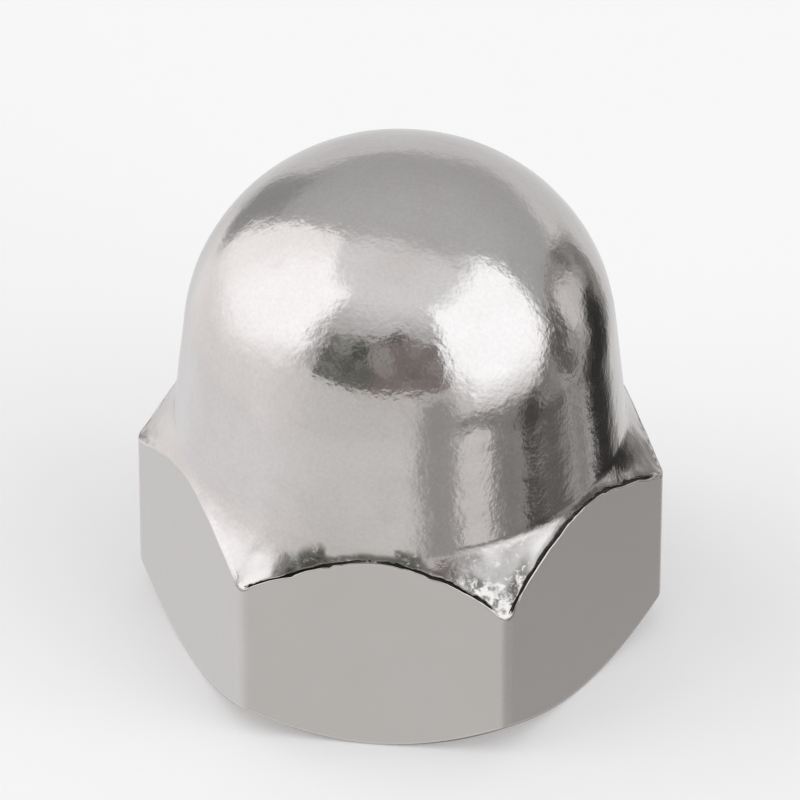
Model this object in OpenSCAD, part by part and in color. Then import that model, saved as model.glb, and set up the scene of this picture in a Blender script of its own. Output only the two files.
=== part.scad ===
// Domed cap nut with an M8 coarse thread, closed at the top.
// One piece of metal: a hexagon for the spanner, a dome over it that flares out
// to the corners, and a blind threaded hole that opens below. Millimetres.
//
// Origin: the middle of the bearing face, which the nut stands on.
// +Z runs up the thread's axis to the top of the dome. One flat of the
// hexagon faces -Y, so two of its corners lie on the X axis.

/* [Hexagon] */
// Width across the flats: the spanner size
across_flats = 13; // [12.8:0.1:13.4]
// Width across the corners, which are eased from the sharp hexagon's
across_corners = 14.86; // [14.4:0.02:14.88]
// Height of a flat at its middle, where it is tallest
hex_height = 6.5; // [6:0.1:7]
// Slope of the flare where it crosses the middle of a flat, in degrees from level
flare_slope = 64.5; // [62:0.5:67]
// Radius of the flare, which spreads from the dome's foot down to the corners
flare_r = 5; // [4:0.5:8]
// Diameter of the bearing face, which ends at the chamfer below the corners
face_dia = 12.9; // [12.2:0.1:13.2]
// Slope of the chamfer below the hexagon's corners, in degrees from level
foot_chamfer = 44; // [30:1:48]

/* [Dome] */
// Height of the whole nut
total_height = 15; // [14.6:0.1:16]
// Diameter of the dome, where its side passes the top of the flats
dome_dia = 12.8; // [12.7:0.05:12.85]
// Draft of the dome's side, in degrees
dome_draft = 6; // [5:0.5:6.5]
// Radius of the dome's shoulder
shoulder_r = 5.4; // [5.2:0.1:5.5]
// Radius of the dome's crown, which is flatter than the shoulder
crown_r = 7.2; // [6.8:0.1:8.5]
// Radius of the hollow where the dome's side runs out onto the flare
root_r = 1; // [0.4:0.1:1.4]

/* [Threaded hole] */
// Outside diameter of the screw that the thread takes
thread_dia = 8; // [7.9:0.1:8.1]
// Pitch of the thread
pitch = 1.25; // [1:0.25:1.25]
// Depth of the drilled hole at its full width
bore_depth = 10.8; // [9.8:0.1:11.2]
// Angle of the drill point that closes the hole, in degrees
drill_point = 118; // [110:1:140]
// Diameter of the countersunk mouth, measured to its sharp corner
mouth_dia = 9; // [8.6:0.1:9.2]
// Included angle of the countersink, in degrees
countersink = 90; // [80:1:110]
// Radius of the lip that rounds off the mouth's corner
lip_r = 0.9; // [0.4:0.1:1]

/* [Hidden] */
$fn = 96;

// The hole is modelled at the thread's minor diameter, which lies 5/8 of the
// sharp thread's height in from the screw's outside diameter, on each side.
minor_r = thread_dia / 2 - 5 / 8 * pitch * cos(30);

flat_r = across_flats / 2;
corner_r = across_corners / 2;
face_r = face_dia / 2;
mouth_r = mouth_dia / 2;

// Outlines are drawn as [radius, height]. A direction is [cos, sin] of its
// angle from level.
function dir(a) = [cos(a), sin(a)];

// The dome's side is a straight line that leans in by the draft.
side_n = dir(dome_draft);        // out of the side
side_t = dir(dome_draft + 90);   // up the side
side_p = [dome_dia / 2, hex_height];

// The crown's centre lies on the axis. The shoulder's centre lies shoulder_r
// inside the side, where the shoulder also touches the crown from inside.
crown_c = [0, total_height - crown_r];
start = side_p - shoulder_r * side_n - crown_c;
rise = sqrt(pow(start * side_t, 2) - start * start + pow(crown_r - shoulder_r, 2)) - start * side_t;
shoulder_c = crown_c + start + rise * side_t;
join_a = atan2(shoulder_c[1] - crown_c[1], shoulder_c[0]);

// The flare is an arc, hollow outwards, that passes over the middle of each flat
// and ends at the hexagon's corners.
flare_c = [flat_r, hex_height] + flare_r * dir(90 - flare_slope);
flare_end = [corner_r, flare_c[1] - sqrt(pow(flare_r, 2) - pow(flare_c[0] - corner_r, 2))];

// The hollow's centre lies root_r outside the side, where the hollow also
// touches the flare's arc from inside.
away = side_p + root_r * side_n - flare_c;
climb = -away * side_t - sqrt(pow(away * side_t, 2) - away * away + pow(flare_r - root_r, 2));
root_c = flare_c + away + climb * side_t;
root_a = atan2(flare_c[1] - root_c[1], flare_c[0] - root_c[0]);

// The lip's centre lies lip_r inside both the bearing face and the countersink.
sink_n = dir(countersink / 2);     // out of the hole, into the metal
lip_c = [mouth_r + lip_r * (1 - sin(countersink / 2)) / cos(countersink / 2), lip_r];

// Each arc is this much larger than one that only touches its neighbours, so
// that it crosses them. The flare's slice starts this many degrees early, so
// that it overlaps the hollow.
blend = 0.0005;
slack = 0.02;

foot_h = (corner_r - face_r) * tan(foot_chamfer);
sink_h = (mouth_r - minor_r) / tan(countersink / 2);
point_h = minor_r / tan(drill_point / 2);

// The nut turned round, before its flats: a straight-sided core, a disc for
// the shoulder's curve, a slice of a disc for the crown's, and the hollow and
// a slice of a disc for the flare cut from them.
module turned_body() {
    rotate_extrude() difference() {
        union() {
            polygon([
                [0, 0], [face_r, 0], [corner_r, foot_h], flare_end,
                flare_c, root_c, root_c - root_r * side_n,
                shoulder_c + shoulder_r * side_n, shoulder_c, [0, shoulder_c[1]]
            ]);
            intersection() {
                translate(shoulder_c) circle(r = shoulder_r + blend);
                square(2 * total_height);
            }
            translate(crown_c) intersection() {
                circle(r = crown_r);
                polygon([[0, 0], 2 * crown_r * dir(join_a), [0, 2 * crown_r]]);
            }
        }
        translate(root_c) circle(r = root_r + blend);
        translate(flare_c) intersection() {
            circle(r = flare_r);
            polygon([[0, 0], 2 * flare_r * dir(root_a + 180 - slack), 2 * flare_r * dir(root_a + 180 + 45)]);
        }
    }
}

// Hexagonal bar, with flats at -Y and +Y
module hexagon_bar() {
    translate([0, 0, -1]) cylinder(h = total_height + 2, r = flat_r / cos(30), $fn = 6);
}

// Rounded mouth, countersink, drilled hole and the drill's point
module hole() {
    rotate_extrude() difference() {
        polygon([
            [0, -1], [lip_c[0], -1], lip_c, lip_c - lip_r * sink_n,
            [minor_r, sink_h], [minor_r, bore_depth], [0, bore_depth + point_h]
        ]);
        translate(lip_c) circle(r = lip_r + blend);
    }
}

module cap_nut() {
    color([0.74, 0.73, 0.71]) difference() {
        intersection() {
            turned_body();
            hexagon_bar();
        }
        hole();
    }
}

cap_nut();
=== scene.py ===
"""Looks of a domed cap nut: one closed mesh with its real helical thread, in plain stainless steel, in a small white studio."""
import math

import bpy
import numpy as np
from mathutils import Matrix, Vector


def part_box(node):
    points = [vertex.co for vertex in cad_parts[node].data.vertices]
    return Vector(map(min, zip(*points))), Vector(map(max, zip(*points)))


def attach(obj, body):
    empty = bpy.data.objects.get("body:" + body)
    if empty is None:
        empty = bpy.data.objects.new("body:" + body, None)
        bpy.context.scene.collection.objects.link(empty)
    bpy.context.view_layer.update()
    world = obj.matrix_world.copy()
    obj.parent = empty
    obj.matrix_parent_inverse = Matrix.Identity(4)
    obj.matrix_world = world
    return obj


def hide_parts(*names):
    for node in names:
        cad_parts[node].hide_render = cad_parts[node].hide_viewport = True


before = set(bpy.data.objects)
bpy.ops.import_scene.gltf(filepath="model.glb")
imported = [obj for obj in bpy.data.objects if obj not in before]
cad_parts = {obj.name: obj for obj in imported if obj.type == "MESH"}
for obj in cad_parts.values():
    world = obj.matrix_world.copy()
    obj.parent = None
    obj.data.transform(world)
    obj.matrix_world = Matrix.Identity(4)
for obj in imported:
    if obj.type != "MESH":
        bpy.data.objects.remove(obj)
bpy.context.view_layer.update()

# ---------------------------------------------------------------- sizes, in millimetres
lo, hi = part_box("cap_nut")
MM = (hi.z - lo.z) / 15.0                       # metres in one of these millimetres
FLAT_R = (hi.y - lo.y) / 2 / MM                 # 6.5
CORNER_R = (hi.x - lo.x) / 2 / MM               # 7.43
HEIGHT = 15.0
HEX_H, FACE_R = 6.5, 6.45
FLARE_TILT, FOOT_SLOPE = math.radians(25.5), math.radians(44)
DRAFT = math.radians(6)
SIDE_R = 6.4
SHOULDER_R, CROWN_R, ROOT_R, FLARE_R = 5.4, 7.2, 1.0, 5.0
THREAD_R, PITCH = 4.0, 1.25
MINOR_R = THREAD_R - 5 / 8 * PITCH * math.cos(math.radians(30))
MOUTH_R, LIP_R = 4.5, 0.9
BORE_END = 10.8
POINT_H = MINOR_R / math.tan(math.radians(59))
SINK_END = MOUTH_R - MINOR_R                    # where the countersink meets the minor diameter

TAU = 2 * math.pi
rng = np.random.RandomState(7)


def smooth(x, a, b):
    t = np.clip((np.asarray(x, float) - a) / (b - a), 0, 1)
    return t * t * (3 - 2 * t)


class Waves:
    """A smooth random field in space, the sum of plane waves near one wavelength, about 1 in size."""

    def __init__(self, wavelength, n=40, spread=0.45, squash=(1, 1, 1)):
        d = rng.normal(size=(n, 3))
        d /= np.linalg.norm(d, axis=1)[:, None]
        k = TAU / (wavelength * np.exp(rng.uniform(-spread, spread, n)))
        self.k = d * k[:, None] * np.array(squash, float)
        self.phase = rng.uniform(0, TAU, n)
        self.size = math.sqrt(2 / n)

    def __call__(self, p):
        return np.cos(p @ self.k.T + self.phase).sum(-1) * self.size


def round_noise(theta, cycles, n=14):
    """A smooth random function of the angle round the nut that closes on itself, about 1 in size."""
    f = rng.randint(max(1, int(cycles * 0.5)), int(cycles * 1.6) + 1, n)
    ph = rng.uniform(0, TAU, n)
    return np.cos(np.outer(theta, f) + ph).sum(1) * math.sqrt(2 / n)


# ---------------------------------------------------------------- columns: angles round the nut, closer at the six corners
def column_angles():
    """432 angles, 72 to each 60 degrees, from one flat's middle to the next."""
    near = np.linspace(-2.9, 2.9, 17)
    far = np.linspace(2.9, 30, 29)[1:]
    half = np.concatenate([near[near >= 0], far])          # from a corner to the middle of a flat
    one = np.unique(np.round(np.concatenate([-half, half]), 6))[:-1]
    return np.radians(np.concatenate([one + 60 * k for k in range(6)]))   # corners at 0, 60, ...


T = column_angles()
T = np.sort(T % TAU)
N = len(T)
RHO = (FLAT_R / math.cos(math.pi / 6) - CORNER_R) / (1 / math.cos(math.pi / 6) - 1)


def hexagon_radius(t):
    """The hexagon's outline, with its corners rounded so that they reach CORNER_R."""
    x = np.abs((t + math.pi / 2 + math.pi / 6) % (math.pi / 3) - math.pi / 6)
    beta = math.pi / 6 - x
    dc = (FLAT_R - RHO) / math.cos(math.pi / 6)
    arc = dc * np.cos(beta) + np.sqrt(np.maximum(RHO**2 - (dc * np.sin(beta)) ** 2, 0))
    return np.where(FLAT_R * np.tan(x) > (FLAT_R - RHO) * math.tan(math.pi / 6), arc, FLAT_R / np.cos(x))


def from_angle(t, degrees_):
    """Angle from a direction, from -pi to pi."""
    return (t - math.radians(degrees_) + math.pi) % TAU - math.pi


# ---------------------------------------------------------------- the outside, one outline for each column
def fillet(A, B, C, radius, n):
    """n points of the arc that rounds corner B of A-B-C, for each column. It takes at most 0.42 of either side."""
    u, v = B - A, C - B
    lu, lv = np.linalg.norm(u, axis=1), np.linalg.norm(v, axis=1)
    u, v = u / lu[:, None], v / lv[:, None]
    turn = np.arctan2(u[:, 0] * v[:, 1] - u[:, 1] * v[:, 0], (u * v).sum(1))
    half = np.tan(np.abs(turn) / 2)
    r = np.minimum(radius, 0.42 * np.minimum(lu, lv) / np.maximum(half, 1e-6))
    start = B - u * (r * half)[:, None]
    side = np.sign(turn)[:, None] * np.stack([-u[:, 1], u[:, 0]], 1)
    centre = start + side * r[:, None]
    out = []
    for f in np.linspace(0, 1, n):
        a = turn * f
        c, s = np.cos(a), np.sin(a)
        w = -side
        out.append(centre + r[:, None] * np.stack([w[:, 0] * c - w[:, 1] * s, w[:, 0] * s + w[:, 1] * c], 1))
    return out


def const(r, z):
    return np.tile(np.array([r, z], float), (N, 1))


rh = hexagon_radius(T)
x_flat = (T + math.pi / 2 + math.pi / 6) % (math.pi / 3) - math.pi / 6      # angle from the middle of the nearest flat
sector = np.round((T + math.pi / 2) / (math.pi / 3)).astype(int) % 6        # 0 is the flat at -Y

side_n = np.array([math.cos(DRAFT), math.sin(DRAFT)])
side_t = np.array([-math.sin(DRAFT), math.cos(DRAFT)])
side_p = np.array([SIDE_R, HEX_H])
crown_c = np.array([0, HEIGHT - CROWN_R])
start = side_p - SHOULDER_R * side_n - crown_c
rise = math.sqrt((start @ side_t) ** 2 - start @ start + (CROWN_R - SHOULDER_R) ** 2) - start @ side_t
shoulder_c = crown_c + start + rise * side_t
join_a = math.atan2(shoulder_c[1] - crown_c[1], shoulder_c[0])
side_end = shoulder_c + SHOULDER_R * side_n
flare_c = np.array([FLAT_R, HEX_H]) + FLARE_R * np.array([math.cos(FLARE_TILT), math.sin(FLARE_TILT)])
away = side_p + ROOT_R * side_n - flare_c
climb = -away @ side_t - math.sqrt((away @ side_t) ** 2 - away @ away + (FLARE_R - ROOT_R) ** 2)
root_c = flare_c + away + climb * side_t
root_a = math.atan2(flare_c[1] - root_c[1], flare_c[0] - root_c[0])      # the surface's tilt where hollow and flare meet
root_low = flare_c - FLARE_R * np.array([math.cos(root_a), math.sin(root_a)])
root_high = root_c - ROOT_R * side_n

# The forged top edge isn't quite even: the flare ends a little higher or lower at each corner.
lift = np.zeros(N)
for corner, up, wide in ((-120, 0.13, 9), (-120, -0.08, 3), (-60, -0.13, 6), (-60, -0.19, 3.2), (0, 0.05, 9), (60, 0.08, 11), (60, -0.12, 4), (120, -0.06, 8), (180, 0.06, 9)):
    lift += up * np.exp(-((from_angle(T, corner) / math.radians(wide)) ** 2))
lift += 0.010 * round_noise(T, 30) + 0.006 * round_noise(T, 70)
lift *= smooth(rh, FLAT_R, FLAT_R + 0.05) * 0.8 + 0.2

tilt = np.arccos((flare_c[0] - rh) / FLARE_R)                             # of the flare at each column's top edge
zf = (rh - FACE_R) * math.tan(FOOT_SLOPE)
zt = flare_c[1] - FLARE_R * np.sin(tilt) + lift
length = FLARE_R * (tilt - root_a)


rows = []          # (points of the row, polish, crevice, edge, smear and painted reflection, columns), from the top of the dome down the outside


def row(points, polish=1.0, crevice=0.0, edge=0.0, smear_and_painted_reflection=0.0, columns=None):
    rows.append((np.asarray(points, float), polish, crevice, edge, smear_and_painted_reflection, columns))


def arc_points(c, r, a0, a1, n, ends=(True, True)):
    f = np.linspace(0, 1, n + 1)
    f = f[(0 if ends[0] else 1):(None if ends[1] else -1)]
    return [c + r * np.array([math.cos(a0 + (a1 - a0) * g), math.sin(a0 + (a1 - a0) * g)]) for g in f]


# The top of the dome: the crown's rings, which get fewer columns towards the top
crown = arc_points(crown_c, CROWN_R, math.pi / 2, join_a, 14, (False, False))
shoulder = arc_points(shoulder_c, SHOULDER_R, join_a, DRAFT, 48)
for p in crown + shoulder:
    r = p[0]
    columns = 54 if r < 0.75 else 108 if r < 1.5 else 216 if r < 3.1 else None
    row(const(*p), columns=columns)
for f in np.linspace(0, 1, 12)[1:-1]:
    row(const(*(side_end * (1 - f) + root_high * f)))
for p in arc_points(root_c, ROOT_R, math.pi + DRAFT, math.pi + root_a, 7):
    row(const(*p))
flare_from = len(rows)

# The flare, the burr's crevice above the flats, and the rounded top edge
strength = np.array([1.0, 0.80, 0.55, 0.85, 0.30, 0.0])[sector]      # flats at -90, -30, 30, 90, 150 and 210 degrees
strength = strength * (1 - smooth(-x_flat, math.radians(28.0), math.radians(29.5))) * (1 - smooth(x_flat, math.radians(24.5), math.radians(29.6)))
smeared = strength
strength = strength * (1 - 0.45 * np.exp(-((from_angle(T, -91) / math.radians(6.5)) ** 2)))
at_tip = np.exp(-((from_angle(T, -120) / math.radians(2.4)) ** 2)) + np.exp(-((from_angle(T, -60) / math.radians(2.6)) ** 2))
at_b = np.exp(-((from_angle(T, -60) / math.radians(11)) ** 4))         # the corner where the edge is pressed over
soft = 0.035 + 0.075 * (1 - strength) * (1 - at_b) * smooth(rh, 6.55, 7.0) * (1 - smooth(np.abs(x_flat), math.radians(27.8), math.radians(29.2)))
dull = np.maximum(np.maximum(strength, 0.9 * at_b), 0.8 * smooth(np.abs(x_flat), math.radians(27.0), math.radians(28.5)))


def ragged(cycles, seed):
    """Teeth: a value that drifts and then jumps back, at uneven steps round the nut."""
    g = np.random.RandomState(seed)
    at = np.sort(g.uniform(0, TAU, cycles))
    k = np.searchsorted(at, T) % cycles
    before = at[k - 1]
    gap = (at[k] - before) % TAU
    f = ((T - before) % TAU) / np.maximum(gap, 1e-6)
    a, b = g.uniform(-1, 1, cycles)[k], g.uniform(-1, 1, cycles)[k]
    return a * (1 - f) + b * f


teeth = np.zeros(N)
for where, size in ((-109.6, 1.0), (-100.8, 1.0), (-97.3, 0.4), (-83.5, 0.5), (-76.2, 0.7), (-71.0, 0.4), (-41.0, 0.6), (-22.0, 0.8), (78.0, 0.9), (96.5, 0.8), (104.0, 0.6)):
    teeth += size * np.exp(-(np.abs(from_angle(T, where)) / math.radians(0.75)) ** 1.6)
gap_s = 0.036 + 0.020 * ragged(60, 3) + 0.014 * ragged(150, 4)
gap_w = 0.104 + 0.034 * ragged(75, 5) + 0.022 * ragged(170, 9) + 0.012 * round_noise(T, 60)
gap_d = 0.085 * strength * (1 + 0.25 * ragged(70, 6))
gap_s, gap_w = gap_s * (1 - 0.6 * np.minimum(teeth, 1)), gap_w + 0.05 * teeth
lift -= 0.075 * teeth * strength
zt -= 0.075 * teeth * strength
top = np.stack([rh, zt], 1)                      # the sharp top corner of each column
need = soft * np.tan(tilt / 2) / 0.42 / 0.75 + 0.006              # the rounded top edge needs this much of the flare
gap_s, gap_w, gap_d = np.maximum(np.maximum(gap_s, 0.018), need), np.maximum(gap_w, 0.05), np.clip(gap_d, 0, 0.15)
fit = np.minimum(1, 0.82 * length / (gap_s + gap_w))        # the flare is short over the middle of a flat
gap_s, gap_w, gap_d = gap_s * fit, gap_w * fit, gap_d * (0.35 + 0.65 * fit)
burr = 0.006 * strength * (1 + 0.8 * ragged(80, 8))


def flare_at(s, depth):
    """The point of each column's flare at distance s above its top edge, and some depth below the surface."""
    a = tilt - s / FLARE_R
    p = flare_c - (FLARE_R + depth)[:, None] * np.stack([np.cos(a), np.sin(a)], 1)
    p[:, 1] += lift * np.clip(1 - s / length, 0, 1) ** 1.4
    return p


end = length
turn_f = np.degrees(from_angle(T, -90))
band = smooth(turn_f, -23.0, -20.0) * (1 - smooth(turn_f, 8.0, 22.0)) + 0.8 * (sector == 1) + 0.6 * (sector == 3)
patch = smooth(turn_f, -20.5, -18.5) * (1 - smooth(turn_f, -13.5, -11.0)) + 0.6 * smooth(turn_f, 4.5, 6.0) * (1 - smooth(turn_f, 11.5, 13.5))


def smear_at(low):
    """How smeared the metal is, this far above the crevice."""
    return 0.9 * smeared * np.minimum(band, 1) * (1 - smooth(low, 0.09 + 0.32 * patch, 0.23 + 0.57 * patch))


g1 = gap_s + gap_w
for i in range(1, 8):                             # the smear reaches up into the hollow
    kept_row = rows[flare_from - i]
    rows[flare_from - i] = kept_row[:4] + (smear_at(end - g1 + 0.044 * (i - 1)),) + kept_row[5:]
for f in np.linspace(1, 0, 10)[1:]:               # from the hollow down to the crevice's upper lip
    upper = g1 + np.minimum(0.05, 0.5 * (end - g1))
    s = upper + (end - upper) * f
    low = s - g1                                 # how far above the crevice
    # At corner B the flare is painted mid-grey: a painted reflection of the neighbouring nut, with bright crinkles left
    # in its gaps
    painted_neighbour_reflection = 0.95 * at_b * (1 - smooth(low, 0.35, 0.90)) * smooth(rh, 6.75, 7.05)
    painted_neighbour_reflection = np.maximum(painted_neighbour_reflection, 0.50 * at_b * (1 - smooth(low, 1.0, 1.7)) * smooth(rh, 6.65, 6.95))
    row(flare_at(s, 0 * s), polish=1.0 - 0.4 * smooth(rh, 6.7, 7.2) * smooth(-f, -1.0, -0.3), smear_and_painted_reflection=np.maximum(smear_at(low), painted_neighbour_reflection))
flare_to = len(rows)
# The crevice's rows: their crevice value becomes residue and painted shade; the upper lip also takes the smear, and at
# corner B the painted reflection
row(flare_at(g1, 0.05 * gap_d), crevice=0.42 * strength, smear_and_painted_reflection=np.maximum(smear_at(0), 0.9 * at_b))
row(flare_at(g1 - 0.22 * gap_w, 0.62 * gap_d), crevice=0.95 * strength)
row(flare_at(g1 - 0.50 * gap_w, gap_d), crevice=1.0 * strength)
row(flare_at(g1 - 0.80 * gap_w, 0.9 * gap_d), crevice=1.0 * strength)
row(flare_at(gap_s + 0.004, 0.25 * gap_d - burr), crevice=0.60 * strength)
# At the two tips the rounded edge is painted darker, a painted reflection that dims its bright rim
row(flare_at(gap_s * 0.9, -burr), crevice=0.15 * strength, edge=1.0 - 0.9 * dull, polish=1 - 0.7 * dull, smear_and_painted_reflection=0.45 * at_tip)
foot = np.stack([rh, zf], 1)
for p in fillet(flare_at(gap_s * 0.75, -burr), top, foot, soft, 5):
    row(p, edge=1.0 - 0.9 * dull, polish=0.9 - 0.7 * dull, smear_and_painted_reflection=0.6 * at_tip)

# A flat, with its own rows close to each edge so that its shading stays flat
face = const(FACE_R, 0)
corner_band = smooth(np.abs(x_flat), math.radians(27.9), math.radians(29.0))
z0, z1 = zt - 0.055, zf + 0.09
for f in (0.0, 0.02, 0.10, 0.25, 0.42, 0.58, 0.75, 0.90, 0.98, 1.0):
    row(np.stack([rh, z0 * (1 - f) + z1 * f], 1), polish=0.30 * corner_band, edge=0.4 * corner_band)
for p in fillet(np.stack([rh, z1], 1), foot, face, 0.10, 5):
    row(p, polish=0.6, edge=0.8)
chamfer = foot - face
row(face + chamfer * 0.5, polish=0.5, edge=0.2)
for p in fillet(foot, face, const(5.0, 0), 0.05, 4):
    row(p, polish=0.6, edge=0.9)
for r, c in ((6.36, None), (6.1, None), (5.7, None), (5.3, 216), (4.95, 216)):
    row(const(r, 0), polish=0.0, columns=c)

# The mouth's rounded lip and the countersink down to where the thread starts
lip_c = np.array([MOUTH_R + LIP_R * (1 - math.sin(math.pi / 4)) / math.cos(math.pi / 4), LIP_R])
for p in arc_points(lip_c, LIP_R, -math.pi / 2, -math.pi * 3 / 4, 10):
    row(const(*p), polish=0.85, edge=0.6, columns=216)
THREAD_FROM = 0.44
for z in (0.29, THREAD_FROM):
    row(const(MOUTH_R - z, z), polish=0.35, columns=216)
n_out = len(rows)

# ---------------------------------------------------------------- vertices of the rings
verts, faces = [], []
attr = {"polish": [], "crevice": [], "edge": [], "smear_and_painted_reflection": [], "thread": []}


def add(points, polish=0.0, crevice=0.0, edge=0.0, smear_and_painted_reflection=0.0, thread=0.0):
    """Adds points and returns their numbers."""
    first = len(attr["polish"])
    verts.append(np.asarray(points, float).reshape(-1, 3))
    n = len(verts[-1])
    for name, value in (("polish", polish), ("crevice", crevice), ("edge", edge), ("smear_and_painted_reflection", smear_and_painted_reflection), ("thread", thread)):
        attr[name].extend(np.broadcast_to(np.asarray(value, float), (n,)))
    return np.arange(first, first + n)


def stitch(a, b):
    """Faces between two rings. The second may have half or twice as many points as the first."""
    if len(a) == len(b):
        a2, b2 = np.roll(a, -1), np.roll(b, -1)
        faces.extend(np.stack([a, b, b2, a2], 1).tolist())
    elif len(a) == 2 * len(b):
        a2, a3, b2 = a[1::2], np.roll(a[::2], -1), np.roll(b, -1)
        for p, q, r, s, t in zip(a[::2], a2, a3, b, b2):
            faces.extend([[p, s, q], [q, s, t], [q, t, r]])
    elif len(b) == 2 * len(a):
        b2, b3, a2 = b[1::2], np.roll(b[::2], -1), np.roll(a, -1)
        for p, q, r, s, t in zip(b[::2], b2, b3, a, a2):
            faces.extend([[s, p, q], [s, q, t], [t, q, r]])
    else:
        raise ValueError("rings don't match")


def ring_columns(n):
    """Every so many columns, kept so that the coarser ring's points lie on the finer ring's first of each pair."""
    return np.arange(0, N, N // n)


tip = add([[0, 0, HEIGHT]], polish=1.0)
last = None
rings = []
for points, polish, crevice, edge, smear_and_painted_reflection, columns in rows:
    pick = ring_columns(columns) if columns else np.arange(N)
    q = points[pick]
    xyz = np.stack([q[:, 0] * np.cos(T[pick]), q[:, 0] * np.sin(T[pick]), q[:, 1]], 1)
    take = lambda v: np.broadcast_to(np.asarray(v, float), (N,))[pick]
    ring = add(xyz, take(polish), take(crevice), take(edge), take(smear_and_painted_reflection))
    if last is None:
        n = len(ring)
        faces.extend([[int(tip[0]), int(ring[i]), int(ring[(i + 1) % n])] for i in range(n)])
    else:
        stitch(last, ring)
    rings.append(ring)
    last = ring
outer_count = len(attr["polish"])

# ---------------------------------------------------------------- the thread: columns of points that follow the helix
Ti = T[ring_columns(216)]
NI = len(Ti)
FLANK = [0.0, 0.075, 0.115, 0.135, 0.16, 0.22, 0.29, 0.36, 0.40, 0.425, 0.4475, 0.475,
         0.5, 0.525, 0.5525, 0.575, 0.60, 0.64, 0.71, 0.78, 0.84, 0.865, 0.885, 0.925]
K = len(FLANK)
PHASE = 0.18
RUN_OUT = (8.9, 10.1)          # the tap's lead: the groove's root comes in to the minor diameter between these heights
PLAIN_FROM = 10.25


def soft_min(a, b, k):
    h = np.clip(0.5 + 0.5 * (b - a) / k, 0, 1)
    return b * (1 - h) + a * h - k * h * (1 - h)


def thread_radius(t, z):
    """The groove's radius: flanks at 30 degrees, a crest PITCH / 4 wide at the minor radius and a root PITCH / 8 wide."""
    u = (z / PITCH - t / TAU - PHASE) % 1.0
    d = np.abs(u - 0.5) * PITCH
    flank = THREAD_R - (d - PITCH / 16) / math.tan(math.radians(30))
    r = soft_min(flank, THREAD_R + 0 * flank, 0.05)
    r = -soft_min(-r, -MINOR_R + 0 * flank, 0.035)
    lead = THREAD_R - (z - RUN_OUT[0]) * (THREAD_R - MINOR_R) / (RUN_OUT[1] - RUN_OUT[0])
    r = np.minimum(r, lead)
    return np.maximum(r, MINOR_R)


def hole_radius(t, z):
    return np.maximum(MOUTH_R - z, thread_radius(t, z))


cols = []
for c, t in enumerate(Ti):
    found = []                                   # (height, key)
    for n in range(-1, 10):
        for k, u in enumerate(FLANK):
            z = PITCH * (n + u + t / TAU + PHASE)
            if THREAD_FROM + 0.012 < z < PLAIN_FROM - 0.012:
                found.append((z, (0, n * K + k)))
    zs = np.arange(0.46, SINK_END + 0.01, 0.0015)
    diff = thread_radius(t, zs) - (MOUTH_R - zs)
    for i in np.where(np.diff(np.sign(diff)) != 0)[0]:
        z = zs[i] + 0.0015 * diff[i] / (diff[i] - diff[i + 1])
        phase = z / PITCH - t / TAU - PHASE
        u = phase % 1.0
        kind = 2 if (u < 0.125 or u > 0.875) else 1 if u > 0.5 else 0
        n = int(math.floor(phase + (0.5 if kind == 2 else 0)))
        found.append((z, (1 + kind, n)))
    found.sort()
    kept = []
    for z, key in found:                         # drop a helix point that lies right beside a crossing
        if key[0] > 0:
            while kept and kept[-1][1][0] == 0 and z - kept[-1][0] < 0.03:
                kept.pop()
        elif kept and kept[-1][1][0] > 0 and z - kept[-1][0] < 0.03:
            continue
        kept.append((z, key))
    cols.append(kept)

col_index = []
for c, t in enumerate(Ti):
    z = np.array([f[0] for f in cols[c]])
    r = hole_radius(t, z)
    on_thread = (r > MOUTH_R - z + 1e-4).astype(float)
    cut = np.where(on_thread > 0, 1.0, 0.45)
    depth = (r - MINOR_R) / (THREAD_R - MINOR_R)
    idx = add(np.stack([r * np.cos(t), r * np.sin(t), z], 1), polish=0.35 + 0.2 * on_thread, thread=cut,
              crevice=on_thread * (0.20 * smooth(depth, 0.75, 1.0)), edge=on_thread * 0.3 * (1 - smooth(depth, 0.0, 0.12)))
    col_index.append(idx)
zp = PLAIN_FROM
plain_ring = add(np.stack([MINOR_R * np.cos(Ti), MINOR_R * np.sin(Ti), np.full(NI, zp)], 1), polish=0.35, thread=0.6)
start_ring = last
for c in range(NI):
    d = (c + 1) % NI
    wrap = K if d == 0 else 0
    L = [(THREAD_FROM, None, int(start_ring[c]))] + [(z, key, int(i)) for (z, key), i in zip(cols[c], col_index[c])] + [(zp, None, int(plain_ring[c]))]
    R = [(THREAD_FROM, None, int(start_ring[d]))]
    for (z, key), i in zip(cols[d], col_index[d]):
        if wrap:                                  # one turn on, the same groove has the next number
            key = (0, key[1] - K) if key[0] == 0 else (key[0], key[1] - 1)
        R.append((z, key, int(i)))
    R.append((zp, None, int(plain_ring[d])))
    where = {e[1]: j for j, e in enumerate(R) if e[1] is not None}
    pairs, at = [(0, 0)], 0
    for i, e in enumerate(L):
        j = where.get(e[1]) if e[1] is not None else None
        if j is not None and j > at:
            pairs.append((i, j))
            at = j
    pairs.append((len(L) - 1, len(R) - 1))
    for (i, j), (i1, j1) in zip(pairs, pairs[1:]):
        if i1 - i == 1 and j1 - j == 1:
            faces.append([L[i][2], L[i1][2], R[j1][2], R[j][2]])
            continue
        while i < i1 or j < j1:
            if j == j1 or (i < i1 and L[i + 1][0] <= R[j + 1][0]):
                faces.append([L[i][2], L[i + 1][2], R[j][2]])
                i += 1
            else:
                faces.append([L[i][2], R[j + 1][2], R[j][2]])
                j += 1

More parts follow.
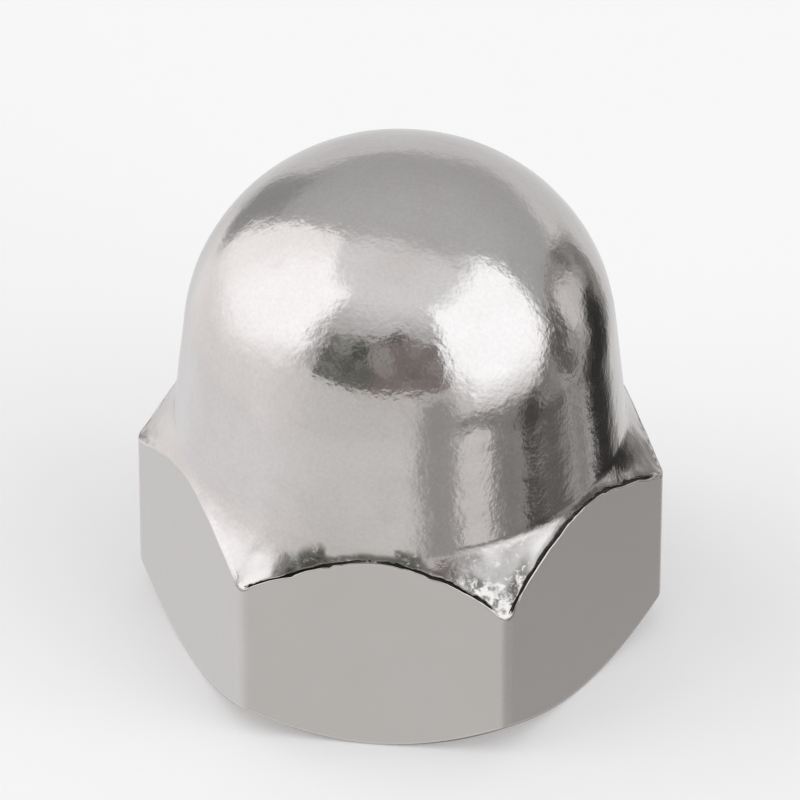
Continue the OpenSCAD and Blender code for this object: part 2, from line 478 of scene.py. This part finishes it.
# The drilled hole past the thread, and the drill's point
last = plain_ring
for r, z, n in ((MINOR_R, 10.5, 216), (MINOR_R, BORE_END - 0.04, 216), (MINOR_R - 0.015, BORE_END + 0.002, 216),
                (MINOR_R - 0.06, BORE_END + 0.045, 216), (2.6, None, 216), (1.7, None, 108), (0.9, None, 54), (0.35, None, 54)):
    if z is None:
        z = BORE_END + (MINOR_R - r) / math.tan(math.radians(59))
    pick = ring_columns(n)
    ring = add(np.stack([r * np.cos(T[pick]), r * np.sin(T[pick]), np.full(len(pick), z)], 1), polish=0.3, thread=0.5)
    stitch(last, ring)
    last = ring
tip = add([[0, 0, BORE_END + POINT_H]], polish=0.3, thread=0.5)
n = len(last)
faces.extend([[int(tip[0]), int(last[(i + 1) % n]), int(last[i])] for i in range(n)])

P = np.vstack(verts)
A = {k: np.array(v, float) for k, v in attr.items()}


# ---------------------------------------------------------------- the forged surface is never quite true
def normals_of(P):
    """Each point's normal, from the faces round it weighted by their area."""
    out = np.zeros_like(P)
    for size in (3, 4):
        f = np.array([q for q in faces if len(q) == size])
        a = np.cross(P[f[:, 2]] - P[f[:, 0]], P[f[:, size - 1]] - P[f[:, 1]]) if size == 4 else np.cross(P[f[:, 1]] - P[f[:, 0]], P[f[:, 2]] - P[f[:, 0]])
        for k in range(size):
            np.add.at(out, f[:, k], a)
    return out / np.maximum(np.linalg.norm(out, axis=1), 1e-12)[:, None]


normal = normals_of(P)
swell, peel, rough = Waves(3.6, 30), Waves(1.25, 50), Waves(0.62, 60)
radius = np.hypot(P[:, 0], P[:, 1])
outside = np.arange(len(P)) < outer_count
dome = outside & (P[:, 2] > root_low[1] - 0.02)
on_dome = dome * smooth(P[:, 2], root_low[1], root_high[1] + 0.3)
corner_far = np.zeros(len(P))
corner_far[outside] = smooth(radius[outside], 6.35, 6.9)
on_flare = np.zeros(len(P))
for ring in rings[flare_from:flare_to]:
    on_flare[ring] = 1.0
on_edge = np.zeros(len(P))
for i, ring in enumerate(rings[flare_from:flare_to + 11]):
    on_edge[ring] = smooth(i, 1.5, 6.0)
move = on_dome * (0.0032 * swell(P) + 0.0016 * peel(P) + 0.00045 * rough(P) - 0.009)
move += on_flare * (0.004 * peel(P) + 0.0045 * rough(P)) * corner_far
on_lip = np.zeros(len(P))
for i, ring in enumerate(rings[n_out - 13:n_out - 2]):
    on_lip[ring] = math.sin(math.pi * (i + 0.5) / 11)
move += on_lip * (0.004 * peel(P) + 0.003 * rough(P))
turned_by = np.arctan2(P[:, 1], P[:, 0])
nicked = on_edge * np.exp(-(((turned_by + math.radians(61.5)) / math.radians(10.5)) ** 2)) * smooth(radius, 6.7, 7.0)
move += nicked * (0.013 * Waves(0.36, 50)(P) - 0.006)
A["nicks"] = nicked
P = P + normal * move[:, None]
P[:, 0] = np.clip(P[:, 0], -CORNER_R, CORNER_R)
P[:, 1] = np.clip(P[:, 1], -FLAT_R, FLAT_R)
P[:, 2] = np.clip(P[:, 2], 0, HEIGHT)
normal = normals_of(P)

centre = Vector(((lo.x + hi.x) / 2, (lo.y + hi.y) / 2, lo.z))
mesh = bpy.data.meshes.new("domed_nut")
mesh.from_pydata((P * MM + np.array(centre)).tolist(), [], faces)
mesh.polygons.foreach_set("use_smooth", np.ones(len(mesh.polygons), bool))
for name, values in A.items():
    a = mesh.attributes.new(name, "FLOAT", "POINT")
    a.data.foreach_set("value", np.clip(values, 0, 1).astype(np.float32))
mesh.update()
mesh.normals_split_custom_set_from_vertices(normal.tolist())
nut = bpy.data.objects.new("domed_nut", mesh)
bpy.context.scene.collection.objects.link(nut)


# ---------------------------------------------------------------- nodes
class Nodes:
    """A short way to write a node tree."""

    def __init__(self, tree):
        self.tree = tree
        tree.nodes.clear()
        self.at = 0

    def new(self, kind, label=None, **settings):
        n = self.tree.nodes.new(kind)
        for key, value in settings.items():
            setattr(n, key, value)
        if label:
            n.label = label
        n.location = (self.at % 9 * 190, -(self.at // 9) * 260)
        self.at += 1
        return n

    def put(self, socket, value):
        if isinstance(value, bpy.types.NodeSocket):
            self.tree.links.new(value, socket)
        elif isinstance(value, (tuple, list)):
            socket.default_value = (*value, 1.0) if len(value) == 3 and len(socket.default_value) == 4 else value
        else:
            socket.default_value = value

    def math(self, op, a, b=None, clamp=False):
        n = self.new("ShaderNodeMath", operation=op, use_clamp=clamp)
        self.put(n.inputs[0], a)
        if b is not None:
            self.put(n.inputs[1], b)
        return n.outputs[0]

    def step(self, value, a, b, low=0.0, high=1.0):
        """Smoothly from low at a to high at b."""
        n = self.new("ShaderNodeMapRange", interpolation_type="SMOOTHSTEP")
        if a > b:
            a, b, low, high = b, a, high, low
        for key, v in (("Value", value), ("From Min", a), ("From Max", b), ("To Min", low), ("To Max", high)):
            self.put(n.inputs[key], v)
        return n.outputs[0]

    def mix(self, factor, a, b):
        n = self.new("ShaderNodeMix", data_type="RGBA")
        self.put(n.inputs[0], factor)
        self.put(n.inputs[6], a)
        self.put(n.inputs[7], b)
        return n.outputs[2]

    def blend(self, factor, a, b):
        n = self.new("ShaderNodeMix", data_type="FLOAT")
        self.put(n.inputs[0], factor)
        self.put(n.inputs[2], a)
        self.put(n.inputs[3], b)
        return n.outputs[0]

    def noise(self, vector, scale, detail=2.0, roughness=0.5, distortion=0.0):
        n = self.new("ShaderNodeTexNoise")
        self.put(n.inputs["Vector"], vector)
        for key, v in (("Scale", scale), ("Detail", detail), ("Roughness", roughness), ("Distortion", distortion)):
            self.put(n.inputs[key], v)
        return n.outputs["Fac"]

    def product(self, *values):
        out = values[0]
        for v in values[1:]:
            out = self.math("MULTIPLY", out, v)
        return out


# ---------------------------------------------------------------- stainless steel
steel = bpy.data.materials.new("stainless_steel")
steel.use_nodes = True
k = Nodes(steel.node_tree)
place = k.new("ShaderNodeTexCoord").outputs["Object"]
named = lambda name: k.new("ShaderNodeAttribute", attribute_name=name).outputs["Fac"]
polish, crevice, edge, smear_and_painted_reflection, thread, nicks = (named(name) for name in ("polish", "crevice", "edge", "smear_and_painted_reflection", "thread", "nicks"))
split = k.new("ShaderNodeSeparateXYZ")
k.put(split.inputs[0], place)

cloud = k.noise(place, 420, 3, 0.55)
stain = k.noise(place, 1300, 4, 0.6)
orange = k.noise(place, 2900, 1.5, 0.45, 0.2)
fine = k.noise(place, 9000, 2, 0.5)
grain = k.noise(place, 26000, 2, 0.6)
draw = k.new("ShaderNodeMapping")                                  # streaks up the flats, from forming
k.put(draw.inputs["Vector"], place)
draw.inputs["Scale"].default_value = (1.0, 1.0, 0.07)
streak = k.noise(draw.outputs[0], 9000, 3, 0.6)
ring_r = k.math("SQRT", k.math("ADD", k.product(split.outputs[0], split.outputs[0]), k.product(split.outputs[1], split.outputs[1])))
ringed = k.new("ShaderNodeCombineXYZ")                             # streaks round the hole, from cutting
k.put(ringed.inputs[0], ring_r)
k.put(ringed.inputs[1], split.outputs[2])
turned = k.noise(ringed.outputs[0], 16000, 3, 0.65)

colour = k.mix(k.step(cloud, 0.3, 0.7), (0.590, 0.562, 0.550), (0.622, 0.598, 0.588))
colour = k.mix(k.product(k.step(stain, 0.52, 0.75), 0.35), colour, (0.560, 0.532, 0.520))
speck = k.step(k.noise(place, 9000, 3, 0.8), 0.3, 0.7)
specked = k.mix(speck, k.mix(0.04, colour, (0.0, 0.0, 0.0)), k.mix(0.04, colour, (1.0, 1.0, 1.0)))
colour = k.mix(polish, colour, specked)
satin = k.math("SUBTRACT", 1.0, polish)
colour = k.mix(k.product(satin, 0.75), colour, (0.570, 0.548, 0.535))
colour = k.mix(k.product(thread, 0.75), colour, k.mix(k.step(turned, 0.35, 0.70), (0.47, 0.445, 0.425), (0.36, 0.338, 0.320)))
painted_blind_end_shade = k.product(thread, k.step(split.outputs[2], 0.0062, 0.0110))      # painted shade down in the blind end, darker towards the end of the hole
colour = k.mix(k.product(painted_blind_end_shade, 0.65), colour, (0.130, 0.120, 0.112))
mottle = k.noise(place, 4600, 3.5, 0.65, 0.5)
whole = k.math("SUBTRACT", 0.11, k.product(nicks, 0.18))           # the smear and the painted reflection have fewer gaps away from the corner
# Olive-grey smear on the flare, and at corner B and the two tips a painted dark reflection of the neighbouring nut,
# with gaps where the bare metal shows
smudge_and_painted_reflection = k.product(smear_and_painted_reflection, k.step(k.math("ADD", mottle, whole), 0.40, 0.56))
colour = k.mix(smudge_and_painted_reflection, colour, k.mix(k.step(orange, 0.4, 0.6), (0.100, 0.104, 0.086), (0.175, 0.170, 0.155)))
# The burr's crevice and the thread's roots: partly residue, partly painted shade, nearly black where the groove would
# lie in shadow
torn = k.noise(place, 8000, 3, 0.65, 0.3)
crevice_residue_and_shade = k.step(k.math("ADD", crevice, k.product(k.math("SUBTRACT", torn, 0.5), 1.2)), 0.34, 0.60)
crevice_residue_and_shade = k.product(crevice_residue_and_shade, k.step(crevice, 0.02, 0.12))
colour = k.mix(crevice_residue_and_shade, colour, k.mix(k.step(orange, 0.4, 0.6), (0.058, 0.056, 0.048), (0.084, 0.077, 0.068)))

rough = k.blend(polish, k.step(grain, 0.3, 0.7, 0.30, 0.38), k.step(stain, 0.3, 0.7, 0.105, 0.150))
rough = k.blend(k.product(edge, 0.7), rough, 0.16)
rough = k.blend(k.product(thread, 0.8), rough, k.step(turned, 0.3, 0.7, 0.20, 0.34))
rough = k.blend(k.product(smudge_and_painted_reflection, 0.5), rough, 0.30)
rough = k.blend(crevice_residue_and_shade, rough, 0.60)

bare = k.math("SUBTRACT", 1.0, thread)
height = k.product(k.math("SUBTRACT", orange, 0.5), polish, bare, 8.5)
height = k.math("ADD", height, k.product(k.math("SUBTRACT", fine, 0.5), polish, bare, k.blend(nicks, 4.2, 10.0)))
height = k.math("ADD", height, k.product(k.math("SUBTRACT", grain, 0.5), satin, 0.8))
height = k.math("ADD", height, k.product(k.math("SUBTRACT", streak, 0.5), satin, bare, 1.1))
height = k.math("ADD", height, k.product(k.math("SUBTRACT", turned, 0.5), thread, 3.0))
bump = k.new("ShaderNodeBump")
bump.inputs["Strength"].default_value = 1.0
bump.inputs["Distance"].default_value = 1e-6          # heights are in thousandths of a millimetre
k.put(bump.inputs["Height"], height)

shader = k.new("ShaderNodeBsdfPrincipled")
shader.inputs["Metallic"].default_value = 1.0
k.put(shader.inputs["Base Color"], colour)
k.put(shader.inputs["Roughness"], rough)
k.put(shader.inputs["Normal"], bump.outputs[0])
k.put(k.new("ShaderNodeOutputMaterial").inputs["Surface"], shader.outputs[0])
mesh.materials.append(steel)

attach(nut, "root")
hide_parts("cap_nut")

# ---------------------------------------------------------------- the studio: a pale floor, two softboxes, and a grey ceiling
floor_mesh = bpy.data.meshes.new("floor")
R = 6.0
floor_mesh.from_pydata([(-R, -R, lo.z), (R, -R, lo.z), (R, R, lo.z), (-R, R, lo.z)], [], [(0, 1, 2, 3)])
floor = bpy.data.objects.new("floor", floor_mesh)
bpy.context.scene.collection.objects.link(floor)
white = bpy.data.materials.new("floor")
white.use_nodes = True
w = white.node_tree.nodes["Principled BSDF"]
w.inputs["Base Color"].default_value = (0.86, 0.858, 0.855, 1)
w.inputs["Roughness"].default_value = 0.8
w.inputs["Specular IOR Level"].default_value = 0.0
w.inputs["Emission Color"].default_value = (1.0, 1.0, 1.0, 1)
w.inputs["Emission Strength"].default_value = 0.13
floor_mesh.materials.append(white)
floor.visible_glossy = False          # the steel mirrors the studio below, whose lower half is the lit table

world = bpy.data.worlds.new("studio")
bpy.context.scene.world = world
world.use_nodes = True
s = Nodes(world.node_tree)
split = s.new("ShaderNodeSeparateXYZ")
s.put(split.inputs[0], s.new("ShaderNodeTexCoord").outputs["Generated"])
x, y, z = split.outputs
# Azimuth from -Y, positive towards +X, and height above the horizon, in degrees
az = s.math("MULTIPLY", s.math("ARCTAN2", x, s.math("MULTIPLY", y, -1.0)), 57.29578)
el = s.math("MULTIPLY", s.math("ARCSINE", z), 57.29578)
az_abs = s.math("ABSOLUTE", az)


def window(a0, a1, wa0, wa1, e0, e1, we0, we1):
    """1 inside a range of azimuth and height, with soft sides. A height may be a number or a node's output."""
    def over(level, soft, low, high):
        if isinstance(level, bpy.types.NodeSocket):
            return s.step(s.math("SUBTRACT", el, level), -soft, soft, low, high)
        return s.step(el, level - soft, level + soft, low, high)
    inside = s.product(s.step(az, a0 - wa0, a0 + wa0), s.step(az, a1 + wa1, a1 - wa1))
    return s.product(inside, over(e0, we0, 0.0, 1.0), over(e1, we1, 1.0, 0.0))


GREY, COOL = (1.0, 0.985, 0.98), (0.965, 0.975, 0.970)


def tone(level, tint=GREY):
    return tuple(level * t for t in tint)


back = s.mix(s.step(el, 20, 60), tone(0.56, COOL), tone(0.66, COOL))           # the wall behind
front = s.mix(s.step(el, 40, 66), tone(0.62), tone(0.99, (1.0, 1.0, 1.02)))    # over the camera, up to the ceiling
turn = s.math("ADD", y, s.math("MULTIPLY", x, 0.2))
sky = s.mix(s.step(turn, 0.31, 0.09), back, front)
sky = s.mix(s.step(el, 74, 88), sky, tone(0.94))
# The lit table, and beyond its edges the room
nearer = s.mix(s.step(el, -14, -30), tone(0.79, (1.0, 0.993, 0.976)), tone(0.85, (1.0, 0.995, 0.977)))
on_left = s.mix(s.step(el, -20, -34), tone(1.07, (1.0, 0.980, 0.980)), tone(0.966, (1.0, 0.995, 1.02)))
table = s.mix(s.product(s.step(az, -22, -75), s.step(az, -172, -128)), nearer, on_left)
table = s.mix(s.product(s.step(az, 22, 75), s.step(az, 172, 128)), table, tone(0.92))
table = s.mix(s.step(az_abs, 135, 160), table, tone(0.79, (0.99, 0.99, 0.995)))
table = s.mix(window(16, 33, 6, 4, -36, 7, 3, 4), table, tone(0.43))
sky = s.mix(s.step(el, 18, 10), sky, table)
sky = s.mix(window(-153, -133, 4, 3, -9, 24, 4, 5), sky, tone(0.40, COOL))
# Two softboxes
left_foot = s.math("ADD", -4.0, s.product(s.math("MAXIMUM", s.math("ADD", az, 96.0), 0.0), 0.48))
right_foot = s.math("ADD", 2.0, s.product(s.math("MAXIMUM", s.math("SUBTRACT", 47.0, az), 0.0), 1.5))
leaning = s.math("SUBTRACT", az, s.product(el, 0.45))
sky = s.mix(window(-129, -50, 3, 6, left_foot, 62, 12, 4), sky,
            s.mix(s.step(az, -124, -90), tone(1.30, (1.0, 0.99, 0.99)), tone(1.54, (1.0, 1.004, 1.018))))
sky = s.mix(s.product(window(34, 130, 3, 5, right_foot, 60, 10, 5), s.step(leaning, 91, 84)), sky, tone(1.56, (1.0, 1.012, 1.037)))
# The dark camera and whoever holds it, with its outline and tones uneven
blur = s.new("ShaderNodeTexNoise")
s.put(blur.inputs["Vector"], s.new("ShaderNodeTexCoord").outputs["Generated"])
for key, v in (("Scale", 8.0), ("Detail", 4.0), ("Roughness", 0.62), ("Distortion", 0.4)):
    blur.inputs[key].default_value = v
uneven = s.math("SUBTRACT", blur.outputs["Fac"], 0.5)
peak = s.product(s.step(az, -14, 4), s.step(az, 17, 6), 6.0)
crown_of = s.math("ADD", s.math("ADD", 42.0, peak), s.product(uneven, 20.0))
crown_of = s.math("SUBTRACT", crown_of, s.product(s.math("MAXIMUM", s.math("SUBTRACT", az_abs, 12.0), 0.0), 0.14))
foot_of = s.math("ADD", 11.5, s.product(uneven, 5.0))
tones = s.mix(s.step(az, -13, -6), (0.185, 0.195, 0.172), (0.262, 0.226, 0.222))
tones = s.mix(window(-23, -11, 4, 2, 24, 41, 5, 3), tones, (0.090, 0.100, 0.080))
tones = s.mix(window(-10, 1, 1.5, 2.5, 25, 41, 4, 2), tones, (0.44, 0.41, 0.40))
tones = s.mix(window(-20, 12, 4, 3, 40, 60, 1.5, 3), tones, (0.135, 0.120, 0.115))
tones = s.mix(window(-34, -25, 2, 3, 30, 40, 2, 2), tones, (0.34, 0.345, 0.325))
tones = s.mix(s.step(uneven, 0.02, 0.16), tones, (0.40, 0.385, 0.37))
tones = s.mix(s.step(uneven, -0.04, -0.16), tones, (0.085, 0.085, 0.078))
sky = s.mix(window(-41, 32, 2.0, 2.0, foot_of, crown_of, 1.2, 2.5), sky, tones)
# Dark shapes low on the right, as the photographed nut mirrors its neighbours there
WARM = (1.0, 0.965, 0.925)
pair = s.new("ShaderNodeCombineXYZ")
s.put(pair.inputs[0], az)
s.put(pair.inputs[1], el)
direction = pair.outputs[0]


def spot(a, e, ra, re, soft, wobble):
    """1 inside an ellipse of directions, with soft and uneven sides."""
    scaled = s.new("ShaderNodeVectorMath", operation="MULTIPLY_ADD")
    for i, v in enumerate((direction, (1 / ra, 1 / re, 0.0), (-a / ra, -e / re, 0.0))):
        s.put(scaled.inputs[i], v)
    away_by = s.new("ShaderNodeVectorMath", operation="LENGTH")
    s.put(away_by.inputs[0], scaled.outputs["Vector"])
    d = s.new("ShaderNodeMath", operation="MULTIPLY_ADD")
    for i, v in enumerate((uneven, wobble, away_by.outputs["Value"])):
        s.put(d.inputs[i], v)
    return s.step(d.outputs[0], 1.0 + soft, 1.0 - soft)


low_top = s.math("ADD", -7.0, s.product(s.step(az, 76, 90), 10.0))
low_top = s.math("ADD", low_top, s.product(uneven, 14.0))
shapes = s.math("MAXIMUM", spot(118, -22, 31, 42, 0.07, 0.30), window(33, 148, 4, 5, -100, low_top, 3, 3))
dark = s.mix(s.step(uneven, -0.13, 0.13), tone(0.16, WARM), tone(0.56))
ring = s.product(s.math("SUBTRACT", 1.0, spot(118, -22, 26, 37, 0.10, 0.4)), s.step(az, 86, 94))
dark = s.mix(ring, dark, tone(0.32, WARM))
for a, e, ra, re, soft, wobble, colour_of in (
        (116, 3, 8, 12, 0.30, 0.8, tone(0.88)), (125, 0, 6, 7, 0.4, 0.8, tone(0.74)), (98, 3, 7, 13, 0.30, 1.0, tone(0.12, WARM)),
        (63, -22, 8, 12, 0.4, 1.2, tone(0.30, WARM)), (76, -20, 7, 11, 0.35, 1.2, tone(0.09, WARM)), (90, -28, 9, 7, 0.4, 1.4, tone(0.16, WARM)),
        (44, -25, 9, 9, 0.30, 0.8, tone(0.88)), (129, -23, 11, 16, 0.30, 1.2, tone(0.04, WARM))):
    dark = s.mix(spot(a, e, ra, re, soft, wobble), dark, colour_of)
dark = s.mix(s.step(el, -35.8, -38.3), dark, tone(0.64))
sky = s.mix(shapes, sky, dark)
# The table under the nut's own foot, in its shade
sky = s.mix(s.product(s.step(az_abs, 125, 150), s.step(el, -42.5, -46)), sky, tone(0.22))
light = s.new("ShaderNodeBackground")
s.put(light.inputs["Color"], sky)
light.inputs["Strength"].default_value = 1.0
plain = s.new("ShaderNodeBackground")
plain.inputs["Color"].default_value = (0.932, 0.933, 0.936, 1)
plain.inputs["Strength"].default_value = 1.0
pick = s.new("ShaderNodeMixShader")
s.put(pick.inputs[0], s.new("ShaderNodeLightPath").outputs["Is Camera Ray"])
s.put(pick.inputs[1], light.outputs[0])
s.put(pick.inputs[2], plain.outputs[0])
s.put(s.new("ShaderNodeOutputWorld").inputs[0], pick.outputs[0])

mid = Vector((centre.x, centre.y, lo.z + 0.0072))

# ---------------------------------------------------------------- camera
camera_data = bpy.data.cameras.new("camera")
camera_data.sensor_width = 36.0
camera_data.lens = 455.0
camera_data.clip_start, camera_data.clip_end = 0.01, 50.0
camera = bpy.data.objects.new("camera", camera_data)
bpy.context.scene.collection.objects.link(camera)
camera.location = Vector((0.02558, -0.22149, 0.18224)) + Vector((centre.x, centre.y, lo.z))
camera.rotation_euler = (mid - camera.location).to_track_quat("-Z", "Y").to_euler()
bpy.context.scene.camera = camera
bpy.context.scene.view_settings.view_transform = "Standard"
